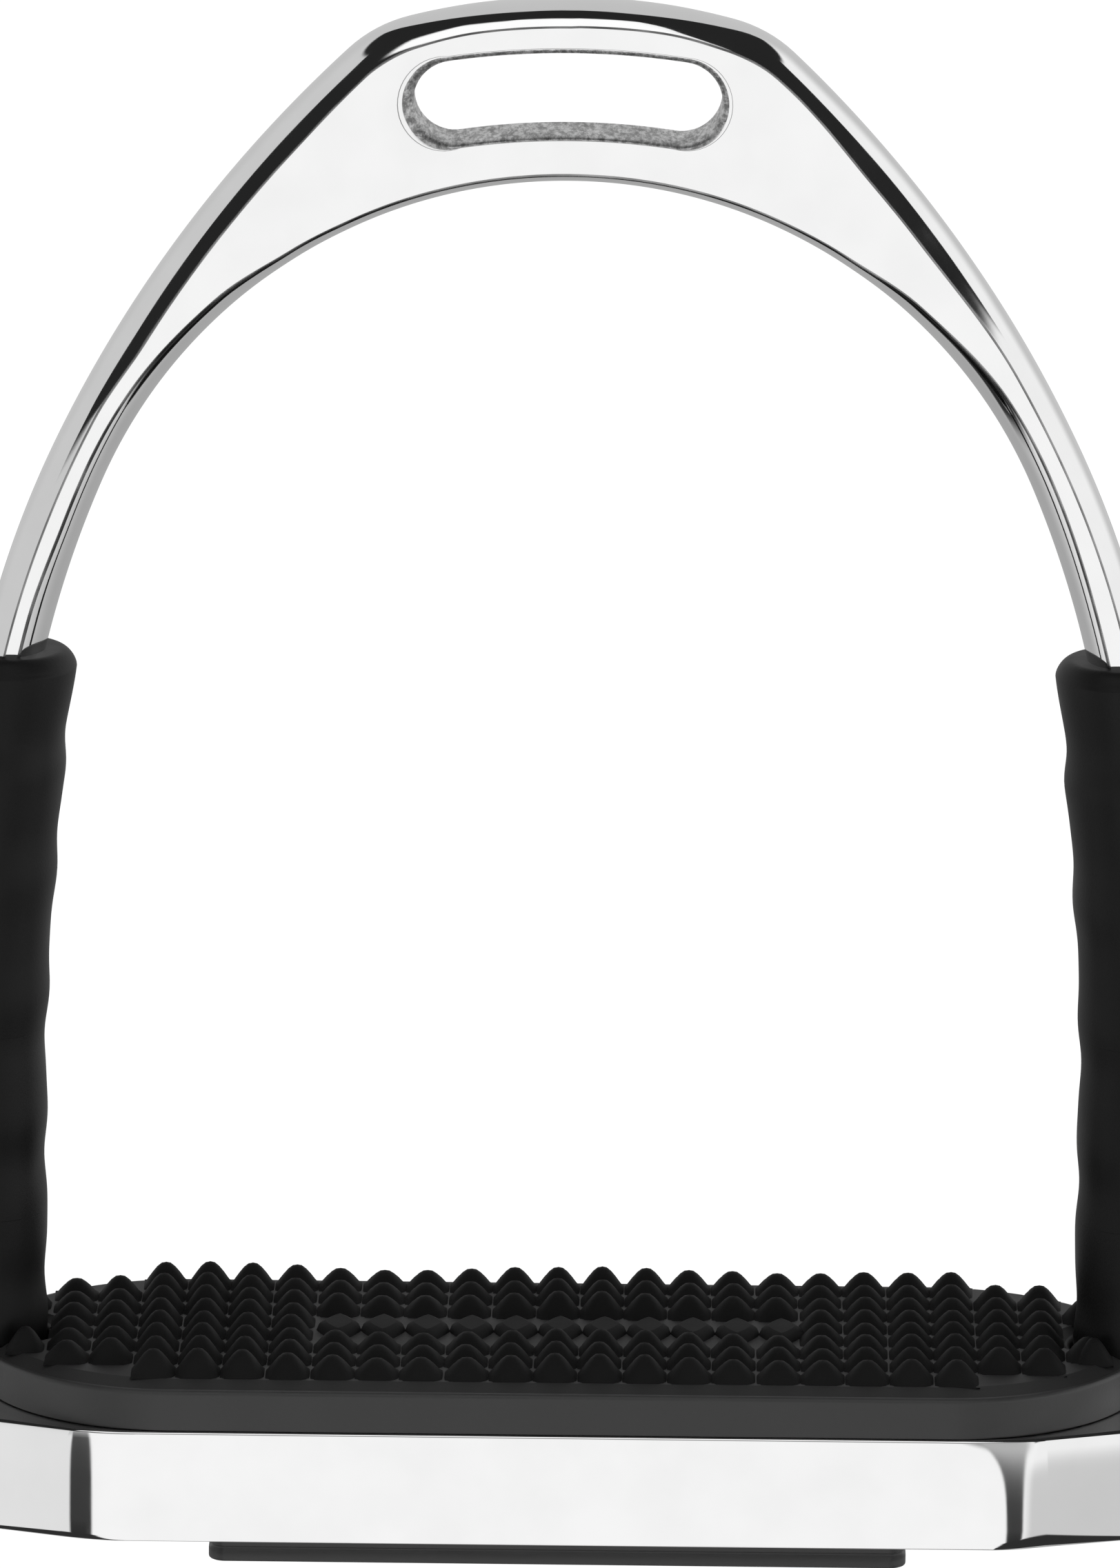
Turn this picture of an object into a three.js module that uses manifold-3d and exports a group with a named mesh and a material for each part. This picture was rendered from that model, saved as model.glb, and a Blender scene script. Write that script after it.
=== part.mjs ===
// A jointed riding stirrup iron. A polished steel bow stands on two flexing side arms over a steel
// tread frame, which holds a studded rubber pad. A rubber sleeve covers each arm's joints.
// Millimetres, +Z up, +X across the foot's width, -Y to the front. The origin is under the middle
// of the pad's lower flange, which is the lowest face.
import * as THREE from 'three';
import { mergeVertices } from 'three/addons/utils/BufferGeometryUtils.js';
import Module from 'manifold-3d';

const wasm = await Module();
wasm.setup();

const ARM_X = 67.3; // middle of each side arm
const PITCH_AXIS = 31; // height of the fore-and-aft pivots
const LOWER_SWAY_AXIS = 45; // height of the lower side-to-side pivots
const UPPER_SWAY_AXIS = 75; // height of the upper side-to-side pivots
const GAP = 0.3; // running and fitting clearance
const OVERLAP = 1; // how far joined solids run into each other, and cuts run past a face
const THROUGH = 40; // longer than any part that is bored or cut through
const SIDES = { left: -1, right: 1 };

const BOW = {
  depth: 10,
  bevel: 2.2,
  crownTop: 182.43,
  crownArcs: [
    { radius: 75.6, turn: 14.3, steps: 3 },
    { radius: 15.8, turn: 29, steps: 5 },
    { radius: 154.2, turn: 21.3, steps: 6 },
    { radius: 121.2, turn: 25.4, steps: 6 },
  ],
  archTop: 161.48,
  archArcs: [
    { radius: 57, turn: 25.5, steps: 6 },
    { radius: 59.8, turn: 41.5, steps: 9 },
    { radius: 124, turn: 23, steps: 6 },
  ],
  tangRadius: 3.65,
  tangDepth: 4,
  tangTop: 80.4,
  tangBottom: 60,
};

const SLOT = { middle: 172, archRadius: 89, halfHeight: 4.75, halfAngle: 0.1426 };

const BASE = {
  bottom: 4.2,
  top: 17.5,
  halfDepth: 23.3,
  halfWidth: 75,
  cornerX: 54,
  cornerRadius: 6,
  facetSlope: 0.38,
  endRadius: 12,
  edge: 0.8,
};

const WINDOW = { halfWidth: 38, halfDepth: 15, radius: 5 };

const PAD = {
  bottom: BASE.top + GAP,
  top: 23.2,
  endRadius: 23.1,
  endX: 45.2,
  flangeTop: BASE.bottom - GAP,
  flangeHalfWidth: 40.7,
  flangeHalfDepth: 17.3,
  flangeRadius: 2,
  notchGap: 0.5,
};

const STUD = { pitch: 5.2, width: 4.6, height: 2.6, columns: 12, rows: 4, sink: 0.4, border: 1.4 };

const POST = { halfWidth: 4.9, halfDepth: 5.2, slot: 5, earRadius: 4.7, collar: 2, sink: 2, room: 0.8 };
const KNUCKLE = { tongueX: 4.4, tongueY: 4, bottom: 36.3, top: 40, lowerRadius: 4.4, upperRadius: 3.6 };
const LINK = { inner: 2.2, outer: 4.2, radius: 3.4 };
const PIN = {
  radius: 1.4,
  bore: 1.6,
  headRadius: 2.3,
  headHeight: 0.7,
  headChamfer: 0.3,
  endChamfer: 0.2,
  play: 0.2,
  recess: 0.3,
  sides: 16,
};
const WASHER = { inner: 1.6, outer: 2.4 };

const SLEEVE = {
  bottom: BASE.top + GAP,
  top: 106,
  halfWidth: 6.9,
  halfDepth: 7.3,
  boreHalfWidth: 5.4,
  boreHalfDepth: 5.8,
  gripHalfWidth: 5,
  gripHalfDepth: 5.8,
  gripBottom: 96,
  straightTop: 58,
  lean: 3.1, // how far the sleeve has leaned in towards the middle at its top
  leanPower: 1.6,
  outsideLevels: [38, 58, 68, 78, 88],
  insideLevels: [92, 80, 69, 58],
  // over the rounded top, as distance down from it and how far out it stands across and in depth
  lip: [
    { down: 3, across: 0.5, deep: 0.5 },
    { down: 0.8, across: 0.25, deep: 0.25 },
    { down: 0, across: -1, deep: -0.6 },
  ],
  sides: 24,
};

const polishedSteel = new THREE.MeshStandardMaterial({ color: 0xd9dbde, roughness: 0.1, metalness: 1 });
const machinedSteel = new THREE.MeshStandardMaterial({ color: 0xa9abae, roughness: 0.35, metalness: 1 });
const padRubber = new THREE.MeshStandardMaterial({ color: 0x1d1e1f, roughness: 0.7, metalness: 0 });
const sleeveRubber = new THREE.MeshStandardMaterial({ color: 0x161718, roughness: 0.6, metalness: 0 });

// Shared geometry

function toSolid(geometry) {
  const bare = geometry.clone();
  bare.deleteAttribute('normal');
  bare.deleteAttribute('uv');
  const merged = mergeVertices(bare, 1e-4);
  const mesh = new wasm.Mesh({
    numProp: 3,
    vertProperties: Float32Array.from(merged.attributes.position.array),
    triVerts: Uint32Array.from(merged.index.array),
  });
  return new wasm.Manifold(mesh);
}

function toGeometry(solid) {
  const mesh = solid.getMesh();
  const geometry = new THREE.BufferGeometry();
  geometry.setAttribute('position', new THREE.BufferAttribute(mesh.vertProperties, 3));
  geometry.setIndex(new THREE.BufferAttribute(mesh.triVerts, 1));
  return geometry;
}

function block(low, high) {
  const size = high.map((value, axis) => value - low[axis]);
  const middle = high.map((value, axis) => (value + low[axis]) / 2);
  return toSolid(new THREE.BoxGeometry(...size).translate(...middle));
}

// A round bar along Y, or along X when turned.
function bar(radius, length, centre, alongX, sides = PIN.sides) {
  const geometry = new THREE.CylinderGeometry(radius, radius, length, sides);
  if (alongX) geometry.rotateZ(Math.PI / 2);
  return toSolid(geometry.translate(...centre));
}

// An upright bar with an elliptical section.
function ellipticBar(halfWidth, halfDepth, bottom, top, x, sides = 28) {
  const geometry = new THREE.CylinderGeometry(1, 1, top - bottom, sides).rotateX(Math.PI / 2);
  geometry.scale(halfWidth, halfDepth, 1);
  return toSolid(geometry.translate(x, 0, (top + bottom) / 2));
}

// Extrudes an outline drawn in X and Z along Y, centred on Y = 0.
function uprightPlate(points, depth, bevel = 0) {
  const geometry = new THREE.ExtrudeGeometry(new THREE.Shape(points), {
    depth: depth - 2 * bevel,
    bevelEnabled: bevel > 0,
    bevelThickness: bevel,
    bevelSize: bevel,
    bevelOffset: -bevel,
    bevelSegments: 2,
  });
  geometry.translate(0, 0, bevel - depth / 2);
  return toSolid(geometry.rotateX(Math.PI / 2));
}

// Extrudes an outline drawn in X and Y from one height to another.
function layer(points, bottom, top, edge = 0) {
  const geometry = new THREE.ExtrudeGeometry(new THREE.Shape(points), {
    depth: top - bottom - 2 * edge,
    bevelEnabled: edge > 0,
    bevelThickness: edge,
    bevelSize: edge,
    bevelOffset: -edge,
    bevelSegments: 1,
  });
  return toSolid(geometry.translate(0, 0, bottom + edge));
}

function arcPoints(centre, radius, from, to, steps) {
  return Array.from({ length: steps + 1 }, (_, i) => {
    const angle = from + ((to - from) * i) / steps;
    return new THREE.Vector2(centre.x + radius * Math.cos(angle), centre.y + radius * Math.sin(angle));
  });
}

// Runs from the middle of the bow outwards and down, through arcs that join tangentially.
function arcChain(top, arcs) {
  const points = [new THREE.Vector2(0, top)];
  let heading = 0;
  for (const { radius, turn, steps } of arcs) {
    const step = THREE.MathUtils.degToRad(turn) / steps;
    const chord = 2 * radius * Math.sin(step / 2);
    for (let i = 0; i < steps; i += 1) {
      const from = points.at(-1);
      const way = heading + step / 2;
      points.push(new THREE.Vector2(from.x + chord * Math.cos(way), from.y - chord * Math.sin(way)));
      heading += step;
    }
  }
  return points;
}

// Rounds each corner of a closed outline; corners are { x, y, radius }.
function roundedOutline(corners, steps) {
  return corners.flatMap((corner, i) => {
    const at = new THREE.Vector2(corner.x, corner.y);
    const before = corners.at(i - 1);
    const after = corners[(i + 1) % corners.length];
    const back = new THREE.Vector2(before.x, before.y).sub(at).normalize();
    const on = new THREE.Vector2(after.x, after.y).sub(at).normalize();
    const half = Math.acos(back.dot(on)) / 2;
    const inward = back.clone().add(on).normalize();
    const centre = at.clone().addScaledVector(inward, corner.radius / Math.sin(half));
    const reach = corner.radius / Math.tan(half);
    const start = at.clone().addScaledVector(back, reach).sub(centre);
    const turn = (Math.PI - 2 * half) * Math.sign(back.cross(on)) * -1;
    return arcPoints(centre, corner.radius, start.angle(), start.angle() + turn, steps);
  });
}

// Four corners or more, mirrored in X and Y from those of the quarter where both are positive.
function quarterMirrored(corners) {
  const flip = (list, sx, sy) => list.map(({ x, y, radius }) => ({ x: x * sx, y: y * sy, radius }));
  const reversed = [...corners].reverse();
  return [...corners, ...flip(reversed, -1, 1), ...flip(corners, -1, -1), ...flip(reversed, 1, -1)];
}

// Bow

function bowOutline() {
  const crown = arcChain(BOW.crownTop, BOW.crownArcs);
  const arch = arcChain(BOW.archTop, BOW.archArcs).reverse();
  const eye = arcPoints(new THREE.Vector2(ARM_X, UPPER_SWAY_AXIS), BOW.tangRadius, 0, -Math.PI, 8);
  const right = [...crown, ...eye, ...arch];
  const left = right.slice(1, -1).map((p) => new THREE.Vector2(-p.x, p.y));
  return [...right, ...left.reverse()];
}

function slotOutline() {
  const { middle, archRadius, halfHeight, halfAngle } = SLOT;
  const hub = new THREE.Vector2(0, middle - archRadius);
  const top = Math.PI / 2;
  const end = (side) => new THREE.Vector2(
    side * archRadius * Math.sin(halfAngle),
    hub.y + archRadius * Math.cos(halfAngle),
  );
  return [
    ...arcPoints(hub, archRadius + halfHeight, top - halfAngle, top + halfAngle, 8),
    ...arcPoints(end(-1), halfHeight, top + halfAngle, 3 * top + halfAngle, 10).slice(1, -1),
    ...arcPoints(hub, archRadius - halfHeight, top + halfAngle, top - halfAngle, 8),
    ...arcPoints(end(1), halfHeight, -top - halfAngle, top - halfAngle, 10).slice(1, -1),
  ];
}

function makeBow() {
  let bow = uprightPlate(bowOutline(), BOW.depth, BOW.bevel);
  bow = bow.subtract(uprightPlate(slotOutline(), THROUGH));
  for (const side of Object.values(SIDES)) {
    const x = side * ARM_X;
    for (const face of [-1, 1]) {
      const faces = [(face * BOW.tangDepth) / 2, face * BOW.depth].sort((a, b) => a - b);
      const low = [x - BOW.depth, faces[0], BOW.tangBottom];
      bow = bow.subtract(block(low, [x + BOW.depth, faces[1], BOW.tangTop]));
    }
    bow = bow.subtract(bar(PIN.bore, THROUGH, [x, 0, UPPER_SWAY_AXIS]));
  }
  return bow;
}

// Tread frame, with a forked round post at each end

function baseOutline() {
  const { halfDepth, halfWidth, cornerX, cornerRadius, facetSlope, endRadius } = BASE;
  const endY = halfDepth - (halfWidth - cornerX) * facetSlope;
  return quarterMirrored([
    { x: halfWidth, y: endY, radius: endRadius },
    { x: cornerX, y: halfDepth, radius: cornerRadius },
  ]);
}

function makePost(side) {
  const x = side * ARM_X;
  const { halfWidth, halfDepth, slot, earRadius, collar, sink, room } = POST;
  const foot = BASE.top - sink;
  const shoulder = BASE.top + collar;
  const top = PITCH_AXIS + earRadius;
  const wide = 2 * halfWidth;
  const round = ellipticBar(halfWidth, halfDepth, foot, top, x);
  const ear = bar(earRadius, 2 * wide, [x, 0, PITCH_AXIS], true, 32);
  const neck = block([x - wide, -earRadius, shoulder], [x + wide, earRadius, PITCH_AXIS]);
  const stem = block([x - wide, -halfDepth, foot], [x + wide, halfDepth, shoulder]);
  const profile = ear.add(neck).add(stem);
  const floor = PITCH_AXIS - KNUCKLE.lowerRadius - room;
  const fork = block([x - slot / 2, -wide, floor], [x + slot / 2, wide, top + OVERLAP]);
  return round.intersect(profile).subtract(fork).subtract(bar(PIN.bore, THROUGH, [x, 0, PITCH_AXIS], true));
}

function makeBase() {
  const { halfWidth, halfDepth, radius } = WINDOW;
  const window = roundedOutline(quarterMirrored([{ x: halfWidth, y: halfDepth, radius }]), 4);
  let base = layer(roundedOutline(baseOutline(), 5), BASE.bottom, BASE.top, BASE.edge);
  base = base.subtract(layer(window, BASE.bottom - OVERLAP, BASE.top + OVERLAP));
  for (const side of Object.values(SIDES)) base = base.add(makePost(side));
  return base;
}

// Rubber pad: a studded tread, a neck through the frame's window and a flange beneath it

function padEndHalfDepth(x) {
  const beyond = Math.max(0, Math.abs(x) - PAD.endX);
  return Math.sqrt(Math.max(0, PAD.endRadius ** 2 - beyond ** 2));
}

function studFits(x, y) {
  const half = STUD.width / 2;
  const outer = padEndHalfDepth(Math.abs(x) + half) - STUD.border;
  const clearX = (Math.abs(x) - ARM_X) / (SLEEVE.halfWidth + PAD.notchGap);
  const clearY = (Math.abs(y) - half) / (SLEEVE.halfDepth + PAD.notchGap);
  const beyondNotch = Math.abs(x) + half > ARM_X - SLEEVE.halfWidth - PAD.notchGap;
  const inNotch = beyondNotch && clearX ** 2 + clearY ** 2 < 1;
  return Math.abs(y) + half < outer && !inNotch;
}

function makeStud(x, y) {
  const height = STUD.height + STUD.sink;
  const cone = new THREE.ConeGeometry(STUD.width / Math.SQRT2, height, 4).rotateY(Math.PI / 4);
  cone.rotateX(Math.PI / 2);
  return toSolid(cone.translate(x, y, PAD.top - STUD.sink + height / 2));
}

function makeStuds() {
  const studs = [];
  for (let column = -STUD.columns; column <= STUD.columns; column += 1) {
    for (let row = -STUD.rows; row < STUD.rows; row += 1) {
      const x = column * STUD.pitch;
      const y = (row + 0.5) * STUD.pitch;
      if (studFits(x, y)) studs.push(makeStud(x, y));
    }
  }
  return studs;
}

function makePad() {
  const { endX, endRadius, notchGap, flangeHalfWidth, flangeHalfDepth, flangeRadius } = PAD;
  const plan = [
    ...arcPoints(new THREE.Vector2(endX, 0), endRadius, -Math.PI / 2, Math.PI / 2, 16),
    ...arcPoints(new THREE.Vector2(-endX, 0), endRadius, Math.PI / 2, 1.5 * Math.PI, 16),
  ];
  let pad = layer(plan, PAD.bottom, PAD.top);
  for (const side of Object.values(SIDES)) {
    const x = side * ARM_X;
    const width = SLEEVE.halfWidth + notchGap;
    const depth = SLEEVE.halfDepth + notchGap;
    const [low, high] = [PAD.bottom - OVERLAP, PAD.top + OVERLAP];
    pad = pad.subtract(ellipticBar(width, depth, low, high, x));
    const outside = [x, x + side * THROUGH].sort((a, b) => a - b);
    pad = pad.subtract(block([outside[0], -depth, low], [outside[1], depth, high]));
  }
  const neck = { x: WINDOW.halfWidth - GAP, y: WINDOW.halfDepth - GAP, radius: WINDOW.radius - GAP };
  const flange = { x: flangeHalfWidth, y: flangeHalfDepth, radius: flangeRadius };
  const neckPlan = roundedOutline(quarterMirrored([neck]), 4);
  pad = pad.add(layer(neckPlan, PAD.flangeTop - OVERLAP, PAD.bottom + OVERLAP));
  pad = pad.add(layer(roundedOutline(quarterMirrored([flange]), 6), 0, PAD.flangeTop));
  return makeStuds().reduce((whole, stud) => whole.add(stud), pad);
}

// Joint pieces inside each arm

// The lower tongue stands in the post's fork, and the upper tongue, turned across it, between the links.
function makeKnuckle(side) {
  const x = side * ARM_X;
  const { tongueX, tongueY, bottom, top, lowerRadius, upperRadius } = KNUCKLE;
  const halfX = tongueX / 2;
  const halfY = tongueY / 2;
  let knuckle = ellipticBar(POST.halfWidth, POST.halfDepth, bottom, top, x);
  knuckle = knuckle.add(bar(lowerRadius, tongueX, [x, 0, PITCH_AXIS], true, 28));
  const [joinLow, joinHigh] = [bottom + OVERLAP, top - OVERLAP];
  knuckle = knuckle.add(block([x - halfX, -lowerRadius, PITCH_AXIS], [x + halfX, lowerRadius, joinLow]));
  knuckle = knuckle.add(bar(upperRadius, tongueY, [x, 0, LOWER_SWAY_AXIS], false, 28));
  const lowCorner = [x - upperRadius, -halfY, joinHigh];
  knuckle = knuckle.add(block(lowCorner, [x + upperRadius, halfY, LOWER_SWAY_AXIS]));
  knuckle = knuckle.subtract(bar(PIN.bore, THROUGH, [x, 0, PITCH_AXIS], true));
  return knuckle.subtract(bar(PIN.bore, THROUGH, [x, 0, LOWER_SWAY_AXIS]));
}

function makeLink(side, face) {
  const x = side * ARM_X;
  const thick = LINK.outer - LINK.inner;
  const y = (face * (LINK.outer + LINK.inner)) / 2;
  const low = [x - LINK.radius, y - thick / 2, LOWER_SWAY_AXIS];
  let link = block(low, [x + LINK.radius, y + thick / 2, UPPER_SWAY_AXIS]);
  for (const height of [LOWER_SWAY_AXIS, UPPER_SWAY_AXIS]) {
    link = link.add(bar(LINK.radius, thick, [x, y, height], false, 24));
    link = link.subtract(bar(PIN.bore, THROUGH, [x, 0, height]));
  }
  return link;
}

// A headed pin along Y, its head in front and its plain end inside the washer behind.
function makeSwayPin(side, height) {
  const { radius: shank, headRadius, headHeight, headChamfer, endChamfer, play } = PIN;
  const head = -(LINK.outer + play);
  const end = LINK.outer + play + headHeight;
  const profile = [
    [0, head - headHeight],
    [headRadius - headChamfer, head - headHeight],
    [headRadius, head - headHeight + headChamfer],
    [headRadius, head],
    [shank, head],
    [shank, end - endChamfer],
    [shank - endChamfer, end],
    [0, end],
  ].map(([radius, along]) => new THREE.Vector2(radius, along));
  return new THREE.LatheGeometry(profile, PIN.sides).translate(side * ARM_X, 0, height);
}

function makeWasher(side, height) {
  const near = LINK.outer + PIN.play;
  const far = near + PIN.headHeight;
  const profile = [
    [WASHER.inner, near],
    [WASHER.outer, near],
    [WASHER.outer, far],
    [WASHER.inner, far],
    [WASHER.inner, near],
  ].map(([radius, along]) => new THREE.Vector2(radius, along));
  return new THREE.LatheGeometry(profile, PIN.sides).translate(side * ARM_X, 0, height);
}

function makePitchPin(side) {
  const length = 2 * (POST.halfWidth - PIN.recess);
  const geometry = new THREE.CylinderGeometry(PIN.radius, PIN.radius, length, PIN.sides);
  return geometry.rotateZ(Math.PI / 2).translate(side * ARM_X, 0, PITCH_AXIS);
}

// Rubber sleeve: a tube over the joints that follows the arm's inward lean and grips it at the top

function ring(side, height, halfWidth, halfDepth, power) {
  const { straightTop, top, lean, leanPower, sides } = SLEEVE;
  const along = Math.max(0, (height - straightTop) / (top - straightTop));
  const middle = side * (ARM_X - lean * along ** leanPower);
  return Array.from({ length: sides }, (_, i) => {
    const angle = (i / sides) * 2 * Math.PI;
    const round = (value) => Math.sign(value) * Math.abs(value) ** (2 / power);
    return [middle + halfWidth * round(Math.cos(angle)), halfDepth * round(Math.sin(angle)), height];
  });
}

function makeSleeve(side) {
  const s = SLEEVE;
  const outside = [s.bottom, ...s.outsideLevels, s.gripBottom].map((height) =>
    ring(side, height, s.halfWidth, s.halfDepth, 2));
  const lip = s.lip.map(({ down, across, deep }) =>
    ring(side, s.top - down, s.halfWidth + across, s.halfDepth + deep, 2));
  const grip = [s.top, s.gripBottom].map((height) =>
    ring(side, height, s.gripHalfWidth, s.gripHalfDepth, 2.4));
  const inside = [...s.insideLevels, s.bottom].map((height) =>
    ring(side, height, s.boreHalfWidth, s.boreHalfDepth, 2.4));
  const rings = [...outside, ...lip, ...grip, ...inside];
  const index = [];
  rings.forEach((_, level) => {
    const next = (level + 1) % rings.length;
    for (let i = 0; i < s.sides; i += 1) {
      const j = (i + 1) % s.sides;
      const [a, b, c, d] = [level * s.sides + i, level * s.sides + j, next * s.sides + j, next * s.sides + i];
      index.push(a, b, c, a, c, d);
    }
  });
  const geometry = new THREE.BufferGeometry();
  geometry.setAttribute('position', new THREE.Float32BufferAttribute(rings.flat(2), 3));
  geometry.setIndex(index);
  return geometry;
}

// Assembly

const stirrup = new THREE.Group();

function place(name, shape, material) {
  const geometry = shape instanceof THREE.BufferGeometry ? shape : toGeometry(shape);
  const mesh = new THREE.Mesh(geometry, material);
  mesh.name = name;
  stirrup.add(mesh);
}

place('bow', makeBow(), polishedSteel);
place('tread_base', makeBase(), polishedSteel);
place('tread_pad', makePad(), padRubber);
for (const [name, side] of Object.entries(SIDES)) {
  place(`sleeve_${name}`, makeSleeve(side), sleeveRubber);
  place(`knuckle_${name}`, makeKnuckle(side), machinedSteel);
  place(`link_front_${name}`, makeLink(side, -1), machinedSteel);
  place(`link_back_${name}`, makeLink(side, 1), machinedSteel);
  place(`pitch_pin_${name}`, makePitchPin(side), machinedSteel);
  place(`lower_sway_pin_${name}`, makeSwayPin(side, LOWER_SWAY_AXIS), machinedSteel);
  place(`lower_washer_${name}`, makeWasher(side, LOWER_SWAY_AXIS), machinedSteel);
  place(`upper_sway_pin_${name}`, makeSwayPin(side, UPPER_SWAY_AXIS), machinedSteel);
  place(`upper_washer_${name}`, makeWasher(side, UPPER_SWAY_AXIS), machinedSteel);
}

export default stirrup;
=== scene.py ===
"""Looks of the jointed stirrup iron: polished steel, studded rubber pad and rubber arm sleeves.

Lengths are in millimetres until a mesh is made, and the axes are those of the CAD frame.
"""

import math
import random

import bmesh
import bpy
from mathutils import Matrix, Vector
from mathutils.geometry import tessellate_polygon


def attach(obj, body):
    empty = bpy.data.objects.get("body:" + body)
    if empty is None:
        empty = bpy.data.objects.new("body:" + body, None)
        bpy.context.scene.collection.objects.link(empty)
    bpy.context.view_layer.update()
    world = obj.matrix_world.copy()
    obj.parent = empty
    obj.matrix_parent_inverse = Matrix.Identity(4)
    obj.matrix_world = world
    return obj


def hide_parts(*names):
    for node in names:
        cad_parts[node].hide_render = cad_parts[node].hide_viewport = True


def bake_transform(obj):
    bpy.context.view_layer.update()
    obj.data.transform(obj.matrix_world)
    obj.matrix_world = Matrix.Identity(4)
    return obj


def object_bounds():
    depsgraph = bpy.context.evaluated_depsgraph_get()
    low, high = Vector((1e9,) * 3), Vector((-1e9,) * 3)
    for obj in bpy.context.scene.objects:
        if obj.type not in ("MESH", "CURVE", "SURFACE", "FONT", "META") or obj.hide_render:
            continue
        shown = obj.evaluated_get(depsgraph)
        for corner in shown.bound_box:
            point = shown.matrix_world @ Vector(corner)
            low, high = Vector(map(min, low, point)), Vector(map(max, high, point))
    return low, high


MM = 0.001
SIDES = {"left": -1, "right": 1}

# The bow's outer and inner lines, as arcs (radius, turn in degrees) from the middle outwards
CROWN_TOP = 182.43
CROWN_ARCS = [(75.6, 14.3), (15.8, 29.0), (154.2, 21.3), (121.2, 25.4)]
ARCH_TOP = 161.48
ARCH_ARCS = [(57.0, 25.5), (59.8, 41.5), (124.0, 23.0)]
STATION_STEP = 1.0
BOW_HALF_DEPTH = 5.0
ARM_END = 81.0

# How far in from each line its crease with the flat face lies, as (length from the middle, width).
# The edges are ground by hand, so the two sides aren't quite the same.
CROWN_CREASE = {
    "left": [(0, 2.45), (11, 2.4), (25, 3.1), (40, 3.35), (68, 3.3), (79, 2.65), (95, 2.75), (140, 2.75)],
    "right": [(0, 2.4), (11, 2.3), (22, 2.9), (30, 2.75), (44, 3.25), (52, 3.2), (72, 2.3), (140, 2.6)],
}
ARCH_CREASE = {
    "left": [(0, 1.25), (25, 1.35), (33, 1.5), (43, 2.15), (57, 2.45), (74, 2.4), (86, 2.8), (140, 2.8)],
    "right": [(0, 1.25), (25, 1.35), (33, 1.4), (43, 2.0), (57, 2.7), (69, 2.6), (86, 2.4), (140, 2.4)],
}
# How steeply the rounding meets the crease, as (length from the middle, degrees), and its shape.
CROWN_TILT = [(0, 62), (140, 62)]
ARCH_TILT = [(0, 43), (31, 43), (40, 52), (57, 53), (66, 58), (140, 58)]
CROWN_SHAPE = {"shoulder": 3.0, "bevel": 1.5, "fillet": 0.14}
ARCH_SHAPE = {"shoulder": 2.2, "bevel": 1.3, "fillet": 0.2}
EDGE_STEPS = 16

# The slot for the stirrup leather, an arch of even height with a rounded rim
SLOT_MIDDLE = 172.0
SLOT_RADIUS = 89.0
SLOT_HALF_HEIGHT = 4.75
SLOT_HALF_ANGLE = 0.1462
SLOT_SHIFT = -0.0036
SLOT_RIM = {"top": 0.8, "bottom": 0.5}
SLOT_END_RIM = {"left": 1.85, "right": 1.2}
SLOT_BEVEL = 0.15
SLOT_END_BEVEL = 0.36
SLOT_BEVEL_SLOPE = 0.07
SLOT_LINE = 0.94
SLOT_RIM_DEPTH = 1.5
SLOT_STEPS = 28

# The tread frame. Its front face meets a slanted facet at each corner.
BASE_BOTTOM = 4.2
BASE_TOP = 17.5
BASE_HALF_DEPTH = 23.3
BASE_HALF_WIDTH = 75.0
CORNER_X = 54.0
CORNER_RADIUS = {"left": 22.0, "right": 18.0}
CORNER_FLARE = {"left": 8.0, "right": 42.0}
CORNER_SLIDE = {"left": 0.4, "right": 1.9}
CORNER_TIGHTENING = 0.6
FIRST_BEND = 0.62
CORNER_FLARE_DROP = 2.2
CORNER_LEVELS = 16
CORNER_STEPS = 16
SAME_POINT = 0.001
FACET_SLOPE = 0.38
END_Y = BASE_HALF_DEPTH - (BASE_HALF_WIDTH - CORNER_X) * FACET_SLOPE
END_RADIUS = 12.0
TOP_EDGE = 0.35
FOOT_EDGE = 0.5
FOOT_WEAR = {"left": 0.3, "right": 1.4}
FOOT_WEAR_X = CORNER_X + 3.0
FOOT_WEAR_SPREAD = 5.0
FOOT_ASPECT = 0.45
WINDOW = (38.0, 15.0, 5.0)
WINDOW_EDGE = 0.4
POST_FOOT = BASE_TOP + 0.05

# The pad, with its neck through the frame's window and its flange below
PAD_BOTTOM = 17.55
PAD_TOP = 23.2
PAD_END_RADIUS = 23.1
PAD_END_X = 45.2
PAD_EDGE = 0.6
PAD_FOOT_EDGE = 0.25
PAD_END_STEPS = 24
LEDGE_DROP = 0.75
FIELD_SHRINK = (0.965, 0.9)
NOTCH_GAP = 0.5
NECK = (37.7, 14.7, 4.7)
NECK_EDGE = 0.2
NECK_OVERLAP = 1.0
FLANGE = (40.7, 17.3, 2.0)
FLANGE_TOP = 3.9
FLANGE_EDGE = 0.3
# (inset, height) down into the groove round the flange's edge and out again
FLANGE_GROOVE = [(0.0, 1.2), (0.35, 1.45), (0.35, 1.75), (0.0, 2.0)]

STUD_PITCH = 5.18
STUD_SHIFT = -0.4
STUD_WIDTH = 5.3
STUD_HEIGHT = 2.65
STUD_SINK = 0.1
STUD_OVERHANG = 0.3
STUD_WAVE = {"height": 0.35, "pace": 0.7, "fade": 14}
STUD_COLUMNS = 12
STUD_ROWS = 4
STUD_BORDER = 1.4
STUD_GRID = 10
STUD_TIP = 0.55
STUD_POWER = 3.6
STUD_DRIFT = 0.1
STUD_SEED = 11
END_STUD = {"x": 62.4, "y": 8.8, "width": 4.6, "height": 2.9, "base": PAD_TOP - 0.2}
PANEL_HALF_WIDTH = 28.0
PANEL_HALF_DEPTH = 5.2
LOZENGE = {"pitch": 5.2, "count": 5, "half_width": 2.7, "half_depth": 5.0, "sides": 24, "power": 1.2}
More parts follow.
